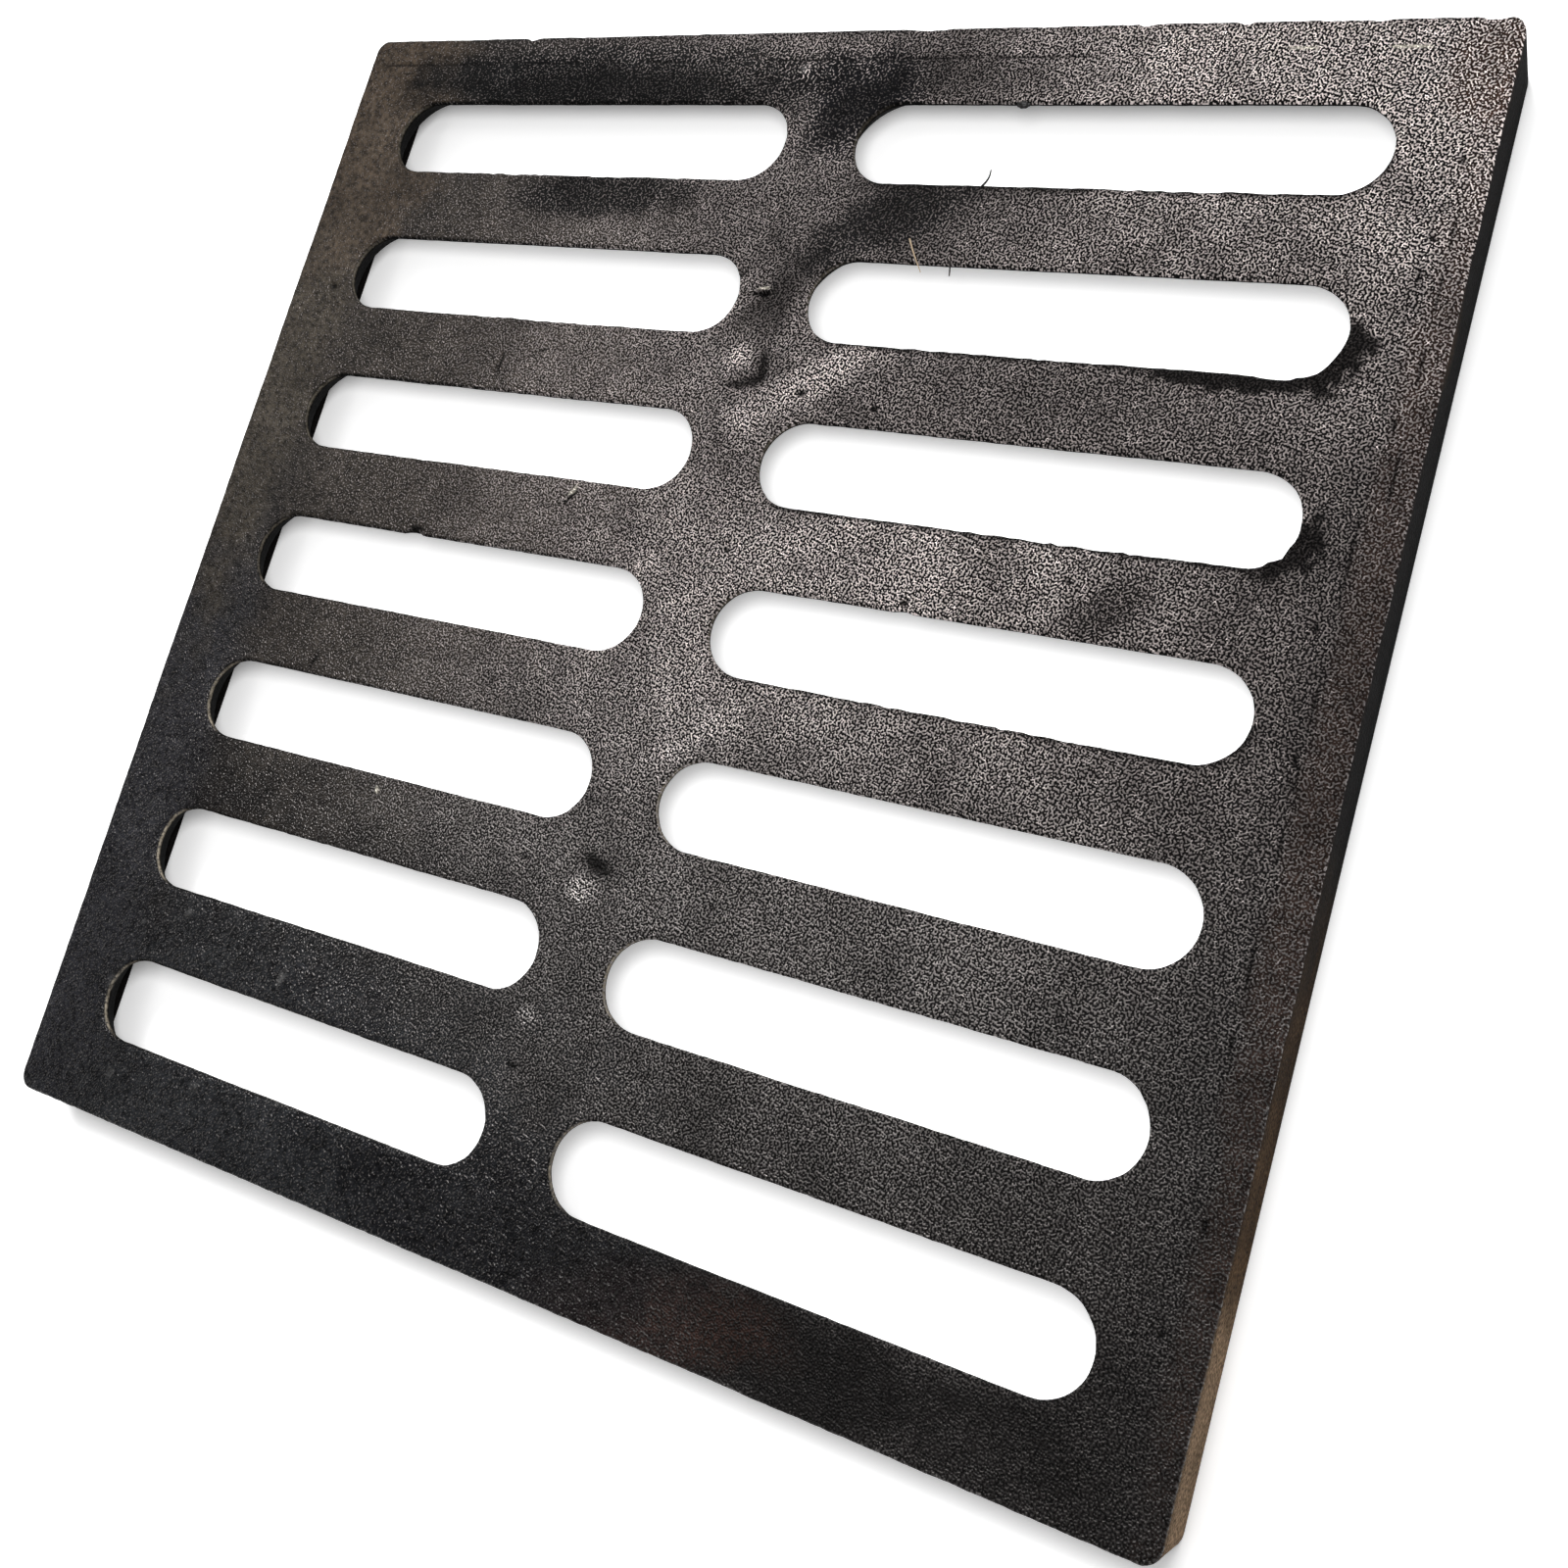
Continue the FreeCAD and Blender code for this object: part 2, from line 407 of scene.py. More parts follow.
# How much brighter or duller the bare tops are, as wear together with painted sheen, which on the bosses is a
# painted highlight: gain, middle, half sizes and turn.
rubbed_and_painted_sheen = [
    (0.20, (34, 8), (80, 44), 10), (0.30, (122, 144), (80, 56), -14), (0.06, (-35, 50), (40, 30), 20),
    (0.34, (17, 60), (30, 6), 33), (0.22, (-9, 80), (15, 4.5), 45), (0.16, (26, 24), (22, 6), 25),
    (0.14, (14, -24), (18, 5), 40), (-0.09, (80, 60), (46, 18), 0), (-0.10, (28, 103), (34, 20), 10),
    (-0.08, (34, 142), (28, 10), 0), (-0.12, (0, 82), (10, 16), 0),
    (0.30, (-4, 64), (4.5, 3.6), 20), (0.34, (-3, -64), (4.0, 3.4), 0), (0.24, (-6.8, -93.6), (3.0, 2.6), 0),
    (0.34, (-8.8, 139), (2.6, 2.2), 0), (0.03, (44, -142), (36, 12), 10), (-0.07, (60, -140), (76, 16), 0),
]
# Linear brightness of a fully bare top for each unit of wear and painted sheen, and its colour: a warm grey
# iron.
top_brightness = 1.68
iron_tint = (1.0, 0.88, 0.85)


def from_hex(text):
    """Linear colour of an sRGB hex value."""
    parts = [int(text[k:k + 2], 16) / 255 for k in (1, 3, 5)]
    return [part / 12.92 if part <= 0.04045 else ((part + 0.055) / 1.055) ** 2.4 for part in parts]


def laid_over(under, over, amount):
    """Colours of all points with another colour laid over them by the amount at each point."""
    return np.array(under) * (1 - amount)[:, None] + np.array(over) * amount[:, None]


x, y, z = points.T
slot_room = room_to_slots(x, y)
from_middle = np.maximum(np.abs(x), np.abs(y))
ragged = 0.16 * swell(x, y, 7.0, 21) + 0.10 * swell(x, y, 2.4, 22)
near_side = smooth(-y, -10, 80)
colour = np.tile(from_hex("#100e0e"), (len(points), 1))
# Grain is how open the pebbled skin is: 1 for bare pebbles, 0 where paint has filled it.
grain = 0.36 + 0.64 * smooth(x + 0.9 * np.minimum(y + 50, 0), -135, -40)
gloss = 0.35 * near_side
for shade, strength, middle, sizes, turn, filled, sheen in paint_marks:
    inside = strength * (1 - smooth(oval(x, y, *middle, *sizes, turn) + ragged, 0.55, 1.15))
    colour = laid_over(colour, from_hex(shade), inside)
    grain = grain - grain * inside * filled
    gloss = gloss + inside * sheen
# Rust stains the sides brown where the film is thin: most at the near right corner.
on_side = smooth(from_middle, 149.1, 149.5) * (1 - smooth(z, 16.9, 17.9))
on_right = smooth(x, 149.1, 149.5)
right_rust = 1 - smooth(y + 9 * swell(y, z * 4, 9, 51), -112, -10)
other_rust = 0.25 * (1 + swell(x + y, z * 3, 16, 52))
rusty = on_right * right_rust + (1 - on_right) * other_rust
rust_spot = on_right * (1 - smooth(oval(y, z, 80, 16.5, 14, 2.2), 0.5, 1.2))
rusty = np.maximum(rusty * (1 + 0.35 * swell(y, z * 3, 5, 53)), 0.55 * rust_spot)
rust = laid_over(from_hex("#57432f"), from_hex("#8f7860"), smooth(-y, 96, 116) * on_right)
clean_film = np.array(from_hex("#080707"))
side_colour = clean_film + (rust - clean_film) * np.clip(rusty, 0, 1)[:, None]
colour = laid_over(colour, side_colour, on_side)
# Slots are near black inside, darker than the film on top as painted shade of the recess, apart from a painted
# highlight: a thin light line along the edge of their left ends.
in_slot = (1 - smooth(slot_room, 0.1, 0.5)) * (z < 17.9)
in_slot = np.where(z < overall_depth - 1.2, smooth(slot_flare + 0.3 - slot_room, 0, 0.2), in_slot)
colour = laid_over(colour, from_hex("#030303"), in_slot)
to_middle = np.abs(x) - column_pitch / 2
left_end = smooth(-np.sign(x) * to_middle, half_run + 2.5, half_run + 7.0)
edge_highlight_band = left_end * (z > 17.2) * (z < 17.7)
painted_edge_highlight = (1 + 2.5 * near_side) * edge_highlight_band * (slot_room < 0.7)
colour = colour * (1 - edge_highlight_band)[:, None] + np.array(from_hex("#4c473f")) * painted_edge_highlight[:, None]
# Underneath, the rim's inner wall is nearly black, partly the black paint and partly painted shade under the
# plate, and the bars are brown with rust.
below = (z < bar_underside_z + 0.1) & (slot_room > slot_flare + 0.2)
rim_wall = below & (from_middle < mouth_half + 0.1)
bar_face = below & (from_middle < root_half + 0.5)
rust_below = np.clip(1 + swell(x, y, 19, 54) + 0.6 * swell(x, y, 6, 55), 0.3, 2.2)[:, None]
colour = np.where(rim_wall[:, None], np.array(from_hex("#0d0b0a")), colour)
colour = np.where(bar_face[:, None], np.array(from_hex("#2b221b")) * rust_below, colour)
gloss = gloss * (1 - on_side) - 0.4 * on_side - 0.4 * in_slot
grain = np.where(z < overall_depth - 1.0, 0.1 + 0.45 * on_side - 0.2 * in_slot, grain)
# An open skin looks matt between its tops, but less so on the near side, where the paint is thicker.
matt = grain * (1 - 0.8 * near_side)
# Wear and painted sheen of the bare tops, from dull in the near left corner to bright in the middle, painted to
# follow where the wide lamp's light glances off the iron.
wear_and_painted_sheen = 0.07 + 0.14 * smooth(x, -150, 10) * smooth(y, -150, -20) + 0.05 * smooth(x, 20, 90) * smooth(y, -90, 20)
for gain, middle, sizes, turn in rubbed_and_painted_sheen:
    wear_and_painted_sheen += gain * (1 - smooth(oval(x, y, *middle, *sizes, turn) + ragged, 0.2, 1.2))
# Painted shade: the tops are duller towards the near right corner.
wear_and_painted_sheen *= 1 - 0.42 * smooth(x, 90, 140) * (1 - smooth(y, 20, 90))
# Soot cakes the lower edges of the right-hand slots, and the far side is dark too.
above_bar = smooth((y / row_pitch) % 1.0, 0.5, 0.55) * smooth(x, 12, 20) * smooth(y, -60, 10)
soot_and_painted_shade = above_bar * (1 - smooth(slot_room + 0.6 * swell(x, y, 1.9, 61), 0.5, 1.3)) * 0.9
crumbly = smooth(swell(x, y, 2.3, 62) + 0.6 * swell(x, y, 1.4, 63), -0.25, 0.15)
for middle, sizes, turn in caked:
    inside = 1 - smooth(oval(x, y, *middle, *sizes, turn), 0.3, 1.15)
    soot_and_painted_shade = np.maximum(soot_and_painted_shade, 0.95 * smooth(inside + 0.5 * crumbly, 0.55, 0.8))
# These marks also paint shade into the hollows beside the bosses.
for strength, middle, sizes, turn in sooty_and_shaded:
    inside = strength * (1 - smooth(oval(x, y, *middle, *sizes, turn) + 1.4 * ragged, 0.25, 1.2))
    soot_and_painted_shade = 1 - (1 - soot_and_painted_shade) * (1 - inside)
soot_and_painted_shade = np.maximum(soot_and_painted_shade, 0.75 * smooth(y, 149.0, 149.5))
mottle = 1 + 0.22 * swell(x, y, 13, 71) + 0.16 * swell(x, y, 4.2, 72) + 0.12 * swell(x, y, 1.6, 73)
wear_and_painted_sheen *= (1 - soot_and_painted_shade) * mottle
colour *= ((1 - 0.7 * soot_and_painted_shade) * mottle)[:, None]
tint = np.array(iron_tint) + np.outer(near_side, (0.0, 0.045, 0.045))
bare_tops_and_sheen = np.clip(top_brightness * wear_and_painted_sheen, 0.03, 0.9)[:, None] * tint
bare_tops_and_sheen = np.where((z < overall_depth - 1.0)[:, None], np.minimum(colour * 2.2, 0.3), bare_tops_and_sheen)

# Swells, bosses, pits and mould lines
# The skin of the casting swells a little. It has two round bosses with a hollow beside each, made black by
# painted shade, and small pimples and runs of paint. Its mean level lies under the top of the solid, so that
# its swells stay inside.
skin_level = overall_depth - 0.30
highest_swell = 0.29
# Bosses, the hollows beside them, runs and pimples, given in the same way as the pits.
lumps = [
    (-2.9, 63.0, 5.6, 4.6, 20, 0.5), (3.6, 60.6, 2.2, 4.6, 20, -0.5), (-2.0, 57.4, 5.0, 1.8, 8, -0.4),
    (-3.0, -63.2, 4.2, 4.0, 0, 0.32), (-1.0, -58.2, 5.0, 2.1, -20, -0.5),
    (-6.8, -93.6, 3.2, 2.6, 0, 0.26), (-8.8, 139.0, 2.6, 2.2, 0, 0.24),
    (-127, -118, 7, 3, 70, 0.16), (-104, -121, 6, 2, -60, 0.14), (-76, -104, 5, 1.6, 80, 0.14),
    (-112, -96, 2.0, 1.6, 0, 0.2), (-126, -102, 1.4, 1.2, 0, 0.18), (-92, -135, 2.4, 1.8, 0, 0.18),
    (-66, -131, 1.6, 1.4, 0, 0.16), (-120, -139, 2.0, 1.5, 0, 0.16), (-37, -96, 1.5, 1.2, 0, 0.15),
]
height = 0.10 * swell(x, y, 38, 1) + 0.05 * swell(x, y, 11, 2) + 0.02 * grain * swell(x, y, 2.7, 3)
for middle_x, middle_y, half_x, half_y, turn, rise in lumps:
    height += rise * (1 - smooth(oval(x, y, middle_x, middle_y, half_x, half_y, turn), 0.1, 1.05))
    if 0 < rise < 0.25:
        # Runs and pimples of paint get a painted highlight on the side that faces the far left, towards the
        # wide lamp.
        lamp_facing_side = oval(x, y, middle_x - 0.3 * half_x, middle_y + 0.3 * half_y,
                           0.7 * half_x, 0.7 * half_y, turn)
        painted_highlight = 1 - smooth(lamp_facing_side + ragged, 0.2, 1.0)
        colour += 0.05 * painted_highlight[:, None] * np.array((1.0, 0.98, 0.95))
# Pits and sunk mould lines are darkened as painted shade, and scabs and the ridge are pale.
painted_recess_shade, pale = np.zeros(len(points)), np.zeros(len(points))
for middle_x, middle_y, half_x, half_y, turn, rise in pits:
    inside = 1 - smooth(oval(x, y, middle_x, middle_y, 1.1 * half_x, 1.35 * half_y, turn), 0.55, 1.1)
    height += rise * inside
    painted_recess_shade = np.maximum(painted_recess_shade, inside)
for *place, rise in scabs:
    inside = 1 - smooth(oval(x, y, *place), 0.5, 1.1)
    height += rise * inside
    pale = np.maximum(pale, inside)
for number, (start_x, start_y, end_x, end_y) in enumerate(mould_lines):
    past_x, past_y = np.maximum(start_x - x, x - end_x), np.maximum(start_y - y, y - end_y)
    off_line = np.hypot(np.maximum(past_x, 0), np.maximum(past_y, 0))
    broken = smooth(swell(x, y, 7, 31 + number), -0.8 if number == 0 else 0.1, 0.3)
    inside = (1 - smooth(off_line, 0.15, 0.6)) * broken
    if number == ridge_line:
        pale = np.maximum(pale, inside)
        height += 0.12 * inside
    else:
        height -= 0.24 * inside
        painted_recess_shade = np.maximum(painted_recess_shade, 0.85 * inside)
# The two worst stretches of crumbled edge are rough on top as well.
for middle_x, middle_y, half_x, half_y, turn, _ in crumbled[:2]:
    inside = 1 - smooth(oval(x, y, middle_x, middle_y, half_x, half_y * 0.8, turn), 0.6, 1.1)
    height += inside * (0.28 * swell(x, y, 1.8, 41) - 0.2)
height = np.minimum(height - 0.10 * np.exp(-np.abs(slot_room) / 0.9), highest_swell)
on_skin = smooth(z, overall_depth - 3.5, overall_depth - 0.2)
points[:, 2] = z + (height + skin_level - overall_depth) * on_skin
painted_recess_shade, pale = painted_recess_shade * on_skin, pale * on_skin
# Painted shade in the pits and sunk lines darkens the film and the tops.
colour = laid_over(colour * (1 - 0.9 * painted_recess_shade)[:, None], from_hex("#989388"), pale)
bare_tops_and_sheen = laid_over(bare_tops_and_sheen * (1 - 0.95 * painted_recess_shade)[:, None], from_hex("#e9e2d4"), pale)


def put_in_scene(name, data):
    """New object with the given data, in the scene."""
    new_object = bpy.data.objects.new(name, data)
    bpy.context.scene.collection.objects.link(new_object)
    return new_object


mesh = bpy.data.meshes.new("casting")
mesh.from_pydata((points * MM).tolist(), [], faces)
mesh.validate()
mesh.polygons.foreach_set("use_smooth", [True] * len(mesh.polygons))
casting = put_in_scene("casting", mesh)
# The paint reads these at each point: colour of the film, colour of the bare tops with their painted sheen, and
# the three measures.
for name, values in (("stain", colour), ("bare_tops_and_sheen", bare_tops_and_sheen)):
    layer = mesh.attributes.new(name, "FLOAT_COLOR", "POINT")
    layer.data.foreach_set("color", np.c_[values, np.ones(len(points))].ravel())
for name, values in (("grain", grain), ("gloss", gloss), ("matt", matt)):
    layer = mesh.attributes.new(name, "FLOAT", "POINT")
    layer.data.foreach_set("value", values)


def empty_material(name):
    """New material with nothing in its node tree."""
    material = bpy.data.materials.new(name)
    material.use_nodes = True
    material.node_tree.nodes.clear()
    return material


def add(tree, kind, values=None, links=None, **settings):
    """Adds one node with its settings, its input values and its links."""
    node = tree.nodes.new(kind)
    for name, value in settings.items():
        setattr(node, name, value)
    for name, value in (values or {}).items():
        node.inputs[name].default_value = value
    for name, source in (links or {}).items():
        tree.links.new(source, node.inputs[name])
    return node


# Bitumen paint over a sand-cast skin
# The film has worn thin on the tops of the pebbles, where dull grey iron glitters in the light, and lies
# black in the hollows between them. Where it pooled it is smooth and has a soft gloss.
# The pebbles are drawn a little coarser than the real grain, which is just under 1 mm from top to top.
pebble = 0.50 * MM
pebble_height = 0.09 * MM
# The whole range of the noise is about five times the height of one pebble.
noise_height = 5 * pebble_height
blot = 1.3 * MM
# The film's own surface waves like orange peel, less than half as high as the pebbles.
peel_wave = 2.0 * MM
peel_share = 0.45
worn_edge = 0.12
iron_metallic = 0.8
worn_roughness = 0.31
matt_roughness = 0.92
bitumen = empty_material("bitumen_paint_on_sand_cast_iron")
tree = bitumen.node_tree
place = add(tree, "ShaderNodeTexCoord").outputs["Object"]
read = {name: add(tree, "ShaderNodeAttribute", attribute_name=name).outputs
        for name in ("stain", "bare_tops_and_sheen", "grain", "gloss", "matt")}
openness = read["grain"]["Fac"]
# The noise is turned off the slots, so that its rows don't run along them.
turned = add(tree, "ShaderNodeMapping", {"Rotation": (0, 0, 0.3)}, {"Vector": place}).outputs["Vector"]
pebbles = add(tree, "ShaderNodeTexNoise", {"Scale": 1 / pebble, "Detail": 0.0}, {"Vector": turned},
              noise_dimensions="2D").outputs["Fac"]
# The more of the grain is left open, the lower down the pebbles the film has worn through.
film_top = add(tree, "ShaderNodeMapRange", {"To Min": 0.70, "To Max": 0.48}, {"Value": openness},
               clamp=False).outputs["Result"]
film_end = add(tree, "ShaderNodeMath", {1: worn_edge}, {0: film_top}, operation="ADD").outputs[0]
worn = add(tree, "ShaderNodeMapRange", links={"Value": pebbles, "From Min": film_top, "From Max": film_end},
           interpolation_type="SMOOTHSTEP").outputs["Result"]
blots = add(tree, "ShaderNodeTexNoise", {"Scale": 1 / blot, "Detail": 1.0}, {"Vector": place}).outputs["Fac"]
blot_tone = add(tree, "ShaderNodeMapRange", {"From Min": 0.3, "From Max": 0.7, "To Min": 0.45, "To Max": 1.75},
                {"Value": blots}).outputs["Result"]
film = add(tree, "ShaderNodeVectorMath", {}, {0: read["stain"]["Color"], "Scale": blot_tone},
           operation="SCALE").outputs["Vector"]
coat = add(tree, "ShaderNodeMix", links={0: worn, 6: film, 7: read["bare_tops_and_sheen"]["Color"]},
           data_type="RGBA").outputs[2]
metal = add(tree, "ShaderNodeMath", {1: iron_metallic}, {0: worn}, operation="MULTIPLY").outputs[0]
open_share = add(tree, "ShaderNodeMapRange", {"From Min": -0.3, "From Max": 0.8},
                 {"Value": openness}).outputs["Result"]
open_height = add(tree, "ShaderNodeMath", links={0: pebbles, 1: open_share}, operation="MULTIPLY").outputs[0]
peel = add(tree, "ShaderNodeTexNoise", {"Scale": 1 / peel_wave, "Detail": 1.0},
           {"Vector": place}).outputs["Fac"]
skin = add(tree, "ShaderNodeMath", {1: peel_share}, {0: peel, 2: open_height},
           operation="MULTIPLY_ADD").outputs[0]
bump = add(tree, "ShaderNodeBump", {"Strength": 1.0, "Distance": noise_height},
           {"Height": skin}).outputs["Normal"]
film_dull = add(tree, "ShaderNodeMapRange",
                {"From Min": -0.4, "From Max": 0.6, "To Min": matt_roughness, "To Max": 0.15},
                {"Value": read["gloss"]["Fac"]}).outputs["Result"]
open_dull = add(tree, "ShaderNodeMix", {3: matt_roughness}, {0: read["matt"]["Fac"], 2: film_dull}).outputs[0]
dull = add(tree, "ShaderNodeMix", {3: worn_roughness}, {0: worn, 2: open_dull}).outputs[0]
surface = add(tree, "ShaderNodeBsdfPrincipled", {"IOR": 1.5, "Specular IOR Level": 0.15},
              {"Base Color": coat, "Roughness": dull, "Normal": bump, "Metallic": metal})
add(tree, "ShaderNodeOutputMaterial", links={"Surface": surface.outputs["BSDF"]})
mesh.materials.append(bitumen)

# Silted paint
# Down the sides, in the slots and underneath, the same paint is dry and dull under silt and rust, so it
# shows colour in fine crumbs and hardly any reflection.
crumb = 0.7 * MM
crumb_height = 0.35 * MM
silt_line = 16.9 * MM
silted = empty_material("silted_bitumen_paint")
tree = silted.node_tree
place = add(tree, "ShaderNodeTexCoord").outputs["Object"]
stain = add(tree, "ShaderNodeAttribute", attribute_name="stain").outputs["Color"]
crumbs = add(tree, "ShaderNodeTexNoise", {"Scale": 1 / crumb, "Detail": 1.0}, {"Vector": place}).outputs["Fac"]
tone = add(tree, "ShaderNodeMapRange", {"From Min": 0.3, "From Max": 0.7, "To Min": 0.35, "To Max": 1.75},
           {"Value": crumbs}).outputs["Result"]
tint = add(tree, "ShaderNodeVectorMath", {}, {0: stain, "Scale": tone}, operation="SCALE").outputs["Vector"]
bump = add(tree, "ShaderNodeBump", {"Strength": 1.0, "Distance": crumb_height},
           {"Height": crumbs}).outputs["Normal"]
surface = add(tree, "ShaderNodeBsdfPrincipled", {"IOR": 1.5, "Specular IOR Level": 0.05, "Roughness": 0.95},
              {"Base Color": tint, "Normal": bump})
add(tree, "ShaderNodeOutputMaterial", links={"Surface": surface.outputs["BSDF"]})
mesh.materials.append(silted)
for polygon in mesh.polygons:
    polygon.material_index = int(polygon.center.z < silt_line)
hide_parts("grate")
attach(casting, "root")

# Paint drop
# Bitumen that ran down the edge of the first right-hand slot set there as a rough black drop. Its crust
# looks like tar, with a dull gloss.
drop_middle = (48.8, 130.4, 17.1)
drop_sizes = (1.9, 1.1, 0.7)
crust_crumb = 0.5 * MM
crust_height = 0.15 * MM
drop_mesh = bpy.data.meshes.new("paint_drop")
form = bmesh.new()
bmesh.ops.create_icosphere(form, subdivisions=4, radius=1.0)
for vertex in form.verts:
    rough = min(0.82 + 0.18 * noise.fractal(vertex.co * 2.2, 0.6, 2.1, 4), 1.0)
    vertex.co = Vector(m + v * r * rough for m, v, r in zip(drop_middle, vertex.co, drop_sizes)) * MM
form.to_mesh(drop_mesh)
form.free()
drop_mesh.polygons.foreach_set("use_smooth", [True] * len(drop_mesh.polygons))
drop = put_in_scene("paint_drop", drop_mesh)
crust = empty_material("paint_drop_bitumen_crust")
tree = crust.node_tree
place = add(tree, "ShaderNodeTexCoord").outputs["Object"]
crumbs = add(tree, "ShaderNodeTexNoise", {"Scale": 1 / crust_crumb, "Detail": 3.0},
             {"Vector": place}).outputs["Fac"]
tone = add(tree, "ShaderNodeMapRange", {"To Min": 0.4, "To Max": 1.8}, {"Value": crumbs}).outputs["Result"]
tint = add(tree, "ShaderNodeVectorMath", {0: from_hex("#0a0808")}, {"Scale": tone},
           operation="SCALE").outputs["Vector"]
bump = add(tree, "ShaderNodeBump", {"Distance": crust_height}, {"Height": crumbs}).outputs["Normal"]
surface = add(tree, "ShaderNodeBsdfPrincipled", {"IOR": 1.5, "Roughness": 0.42},
              {"Base Color": tint, "Normal": bump})
add(tree, "ShaderNodeOutputMaterial", links={"Surface": surface.outputs["BSDF"]})
drop_mesh.materials.append(crust)
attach(drop, "root")

# Stray fibres
# A straw and two bristles fell into the wet paint and stuck. The straw lies over the edge of the second
# slot with a short bristle beside it, and a bristle stands out from the lower edge of the first.
# Each has a name, a radius, a colour and the places it runs through. They are dry and dull, with fine streaks.
streak = 0.8 * MM
tip_taper = 0.45
fibres = [
    ("straw", 0.22, "#b09d84",
     [(30.8, 96.2, 17.74), (32.6, 93.0, 17.76), (34.0, 90.9, 17.7), (35.2, 88.8, 16.6)]),
    ("short_bristle", 0.28, "#17120f",
     [(41.2, 91.9, 17.68), (42.0, 91.0, 17.68), (42.5, 90.2, 17.6), (42.4, 88.2, 16.6)]),
    ("edge_bristle", 0.28, "#0d0b0a",
     [(44.6, 109.7, 17.68), (45.2, 110.5, 17.68), (45.9, 112.2, 17.68), (45.6, 113.9, 17.5)]),
]
for name, thickness, shade, route in fibres:
    line = bpy.data.curves.new(name, "CURVE")
    line.dimensions = "3D"
    line.bevel_depth = thickness * MM
    line.bevel_resolution = 3
    spline = line.splines.new("NURBS")
    spline.points.add(len(route) - 1)
    for number, (point, stop) in enumerate(zip(spline.points, route)):
        point.co = (*(Vector(stop) * MM), 1)
        point.radius = 1.0 - tip_taper * number / (len(route) - 1)
    spline.order_u = 3
    spline.use_endpoint_u = True
    line.use_fill_caps = True
    fibre = put_in_scene(name, line)
    stalk = empty_material(name + "_dry_stalk")
    tree = stalk.node_tree
    place = add(tree, "ShaderNodeTexCoord").outputs["Object"]
    streaks = add(tree, "ShaderNodeTexNoise", {"Scale": 1 / streak, "Detail": 2.0},
                  {"Vector": place}).outputs["Fac"]
    tone = add(tree, "ShaderNodeMapRange", {"To Min": 0.35, "To Max": 1.6},
               {"Value": streaks}).outputs["Result"]
    tint = add(tree, "ShaderNodeVectorMath", {0: from_hex(shade)}, {"Scale": tone},
               operation="SCALE").outputs["Vector"]
    surface = add(tree, "ShaderNodeBsdfPrincipled", {"IOR": 1.5, "Roughness": 0.85}, {"Base Color": tint})
    add(tree, "ShaderNodeOutputMaterial", links={"Surface": surface.outputs["BSDF"]})
    line.materials.append(stalk)
    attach(fibre, "root")

# Studio floor
# A round pale floor that curves up into a low wall far away. The camera and glossy surfaces see it nearly
# white, and it keeps the shadow. From below it is clear, so that the underside can be looked at.
reach, wall_height, wall_curve, curve_steps = 12.0, 1.9, 1.2, 8
# The floor lies just under the foot of the rim.
floor_level = -0.0001
sides = 48
profile = [(0.4, 0.0), (reach - wall_curve, 0.0)]
for step in range(1, curve_steps + 1):
    angle = math.radians(90 * step / curve_steps)
    profile.append((reach - wall_curve + wall_curve * math.sin(angle), wall_curve * (1 - math.cos(angle))))
profile.append((reach, wall_height))
floor_points = [(0.0, 0.0, floor_level)]
floor_faces = []
for ring, (radius, rise) in enumerate(profile):
    for side in range(sides):
        angle = math.radians(360 * side / sides)
        floor_points.append((radius * math.cos(angle), radius * math.sin(angle), rise + floor_level))
        here, onward = 1 + ring * sides + side, 1 + ring * sides + (side + 1) % sides
        if ring == 0:
            floor_faces.append((0, here, onward))
        else:
            floor_faces.append((here - sides, here, onward, onward - sides))
floor_mesh = bpy.data.meshes.new("floor")
floor_mesh.from_pydata(floor_points, [], floor_faces)
floor_mesh.polygons.foreach_set("use_smooth", [True] * len(floor_mesh.polygons))
floor = put_in_scene("floor", floor_mesh)
# The pale surface glows for the camera and in reflections only, and less where the casting stands close by:
# ambient occlusion dims the glow there into a painted contact shadow.
shadow_reach = 12 * MM
pale_floor = empty_material("pale_studio_floor")
tree = pale_floor.node_tree
path = add(tree, "ShaderNodeLightPath").outputs
seen_or_mirrored = add(tree, "ShaderNodeMath", links={0: path["Is Camera Ray"], 1: path["Is Glossy Ray"]},
                       operation="MAXIMUM").outputs[0]
seen = add(tree, "ShaderNodeMath", links={0: seen_or_mirrored, 1: path["Is Transmission Ray"]},
           operation="MAXIMUM").outputs[0]
unlit = add(tree, "ShaderNodeBsdfDiffuse", {"Color": (*from_hex("#fafafa"), 1)}).outputs[0]
open_sky = add(tree, "ShaderNodeAmbientOcclusion", {"Distance": shadow_reach}, samples=1).outputs["AO"]
glow_with_painted_shadow = add(tree, "ShaderNodeMapRange",
                    {"From Min": 0.15, "From Max": 0.8, "To Min": 0.08, "To Max": 0.56},
                    {"Value": open_sky}).outputs["Result"]
glow = add(tree, "ShaderNodeEmission", {"Color": (1, 1, 1, 1)}, {"Strength": glow_with_painted_shadow}).outputs[0]
glowing = add(tree, "ShaderNodeAddShader", links={0: unlit, 1: glow}).outputs[0]
from_above = add(tree, "ShaderNodeMixShader", links={0: seen, 1: unlit, 2: glowing}).outputs[0]
is_below = add(tree, "ShaderNodeNewGeometry").outputs["Backfacing"]
nothing = add(tree, "ShaderNodeBsdfTransparent").outputs[0]
shown = add(tree, "ShaderNodeMixShader", links={0: is_below, 1: from_above, 2: nothing}).outputs[0]
add(tree, "ShaderNodeOutputMaterial", links={"Surface": shown})
# The glow is only there to be seen, so the renderer needn't look for it as a lamp.
pale_floor.cycles.emission_sampling = "NONE"
floor_mesh.materials.append(pale_floor)

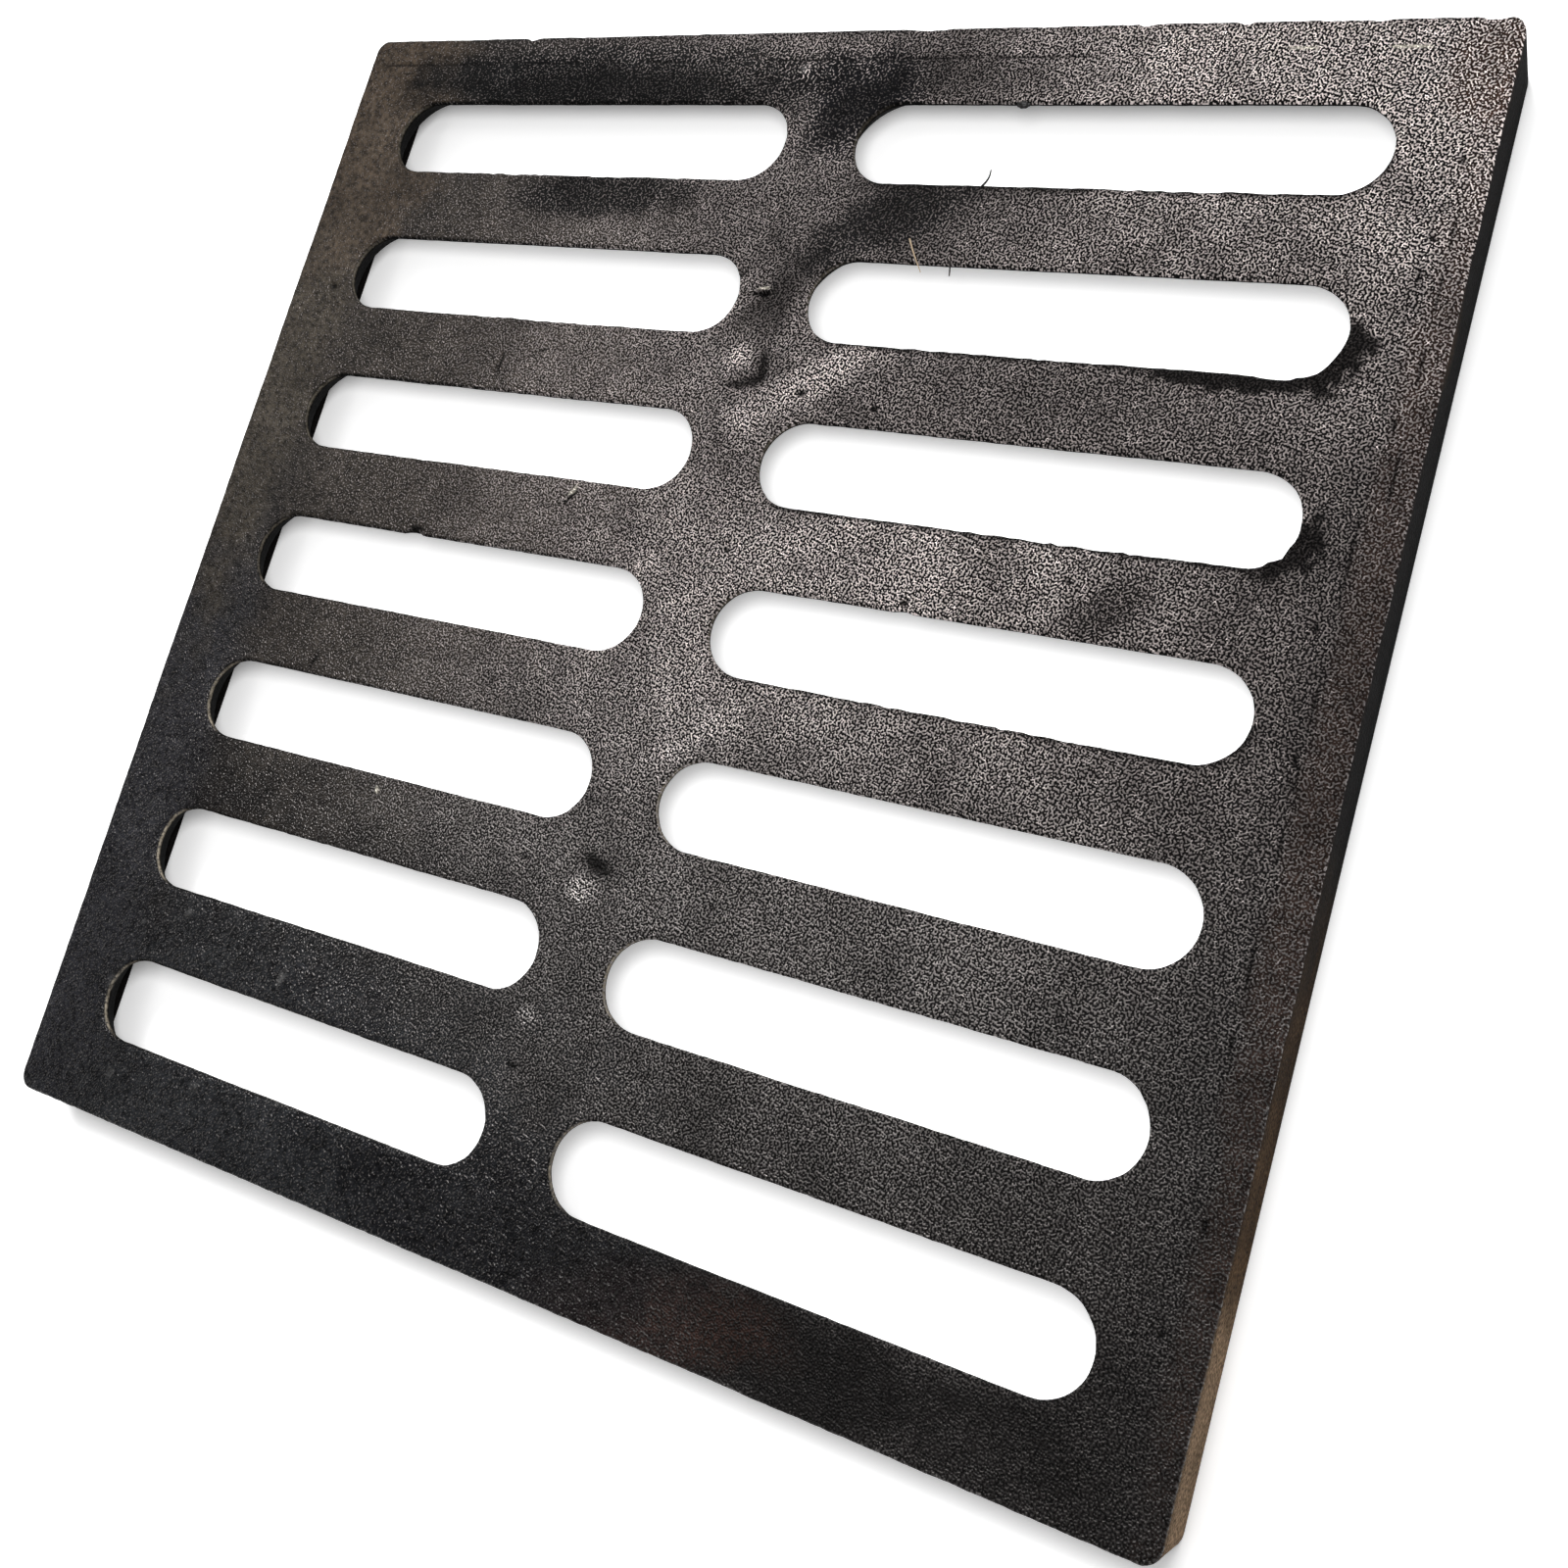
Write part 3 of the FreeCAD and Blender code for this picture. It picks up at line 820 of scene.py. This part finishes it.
# Lamps and air
# A small lamp above the plate, close to the camera, lights the floor and leaves a thin grey shadow along the
# upper left edges. It doesn't show in the gloss of the paint. A wide one stands high over the far left side,
# where the camera sees its light glance off the iron.
plate_middle = Vector((0.03, 0.02, 0.018))


def round_lamp(name, location, size, energy):
    """Adds a round lamp that faces the plate."""
    data = bpy.data.lights.new(name, "AREA")
    data.shape = "DISK"
    data.size = size
    data.energy = energy
    lamp = put_in_scene(name, data)
    lamp.location = location
    lamp.rotation_euler = (plate_middle - lamp.location).to_track_quat("-Z", "Y").to_euler()
    return lamp


round_lamp("glancing_lamp", (-0.215, 0.495, 0.929), 0.50, 9.3)
near_lamp = round_lamp("near_lamp", (0.155, -0.030, 0.322), 0.10, 6.5)
near_lamp.visible_glossy = False
# Its light doesn't fall off with distance, so that it lights the floor evenly from so close.
near_lamp.data.use_nodes = True
tree = near_lamp.data.node_tree
tree.nodes.clear()
even = add(tree, "ShaderNodeLightFalloff", {"Strength": 1.0}).outputs["Constant"]
lamp_light = add(tree, "ShaderNodeEmission", links={"Strength": even}).outputs[0]
add(tree, "ShaderNodeOutputLight", links={"Surface": lamp_light})
world = bpy.data.worlds.new("studio_air")
world.use_nodes = True
world.node_tree.nodes["Background"].inputs["Color"].default_value = (1, 1, 1, 1)
world.node_tree.nodes["Background"].inputs["Strength"].default_value = 0.10
bpy.context.scene.world = world

# Camera
# It stands at the viewing angle of the photograph: above the right side of the grate and leaning over to the
# right. Its place, lens and shift come from a fit to the outline and all 14 slots.
camera_data = bpy.data.cameras.new("camera")
camera_data.lens = 37.15
camera_data.sensor_width = 36.0
camera_data.shift_x = -0.0008
camera_data.shift_y = -0.0209
camera_data.clip_start = 0.01
camera = put_in_scene("camera", camera_data)
camera.location = (0.19609, -0.07157, 0.32088)
aim = Vector((0.03680, -0.02417, 0.018))
lean = Matrix.Rotation(math.radians(-59.23), 3, "Z")
camera.rotation_euler = ((aim - camera.location).to_track_quat("-Z", "Y").to_matrix() @ lean).to_euler()
bpy.context.scene.camera = camera
bpy.context.scene.view_settings.view_transform = "Standard"
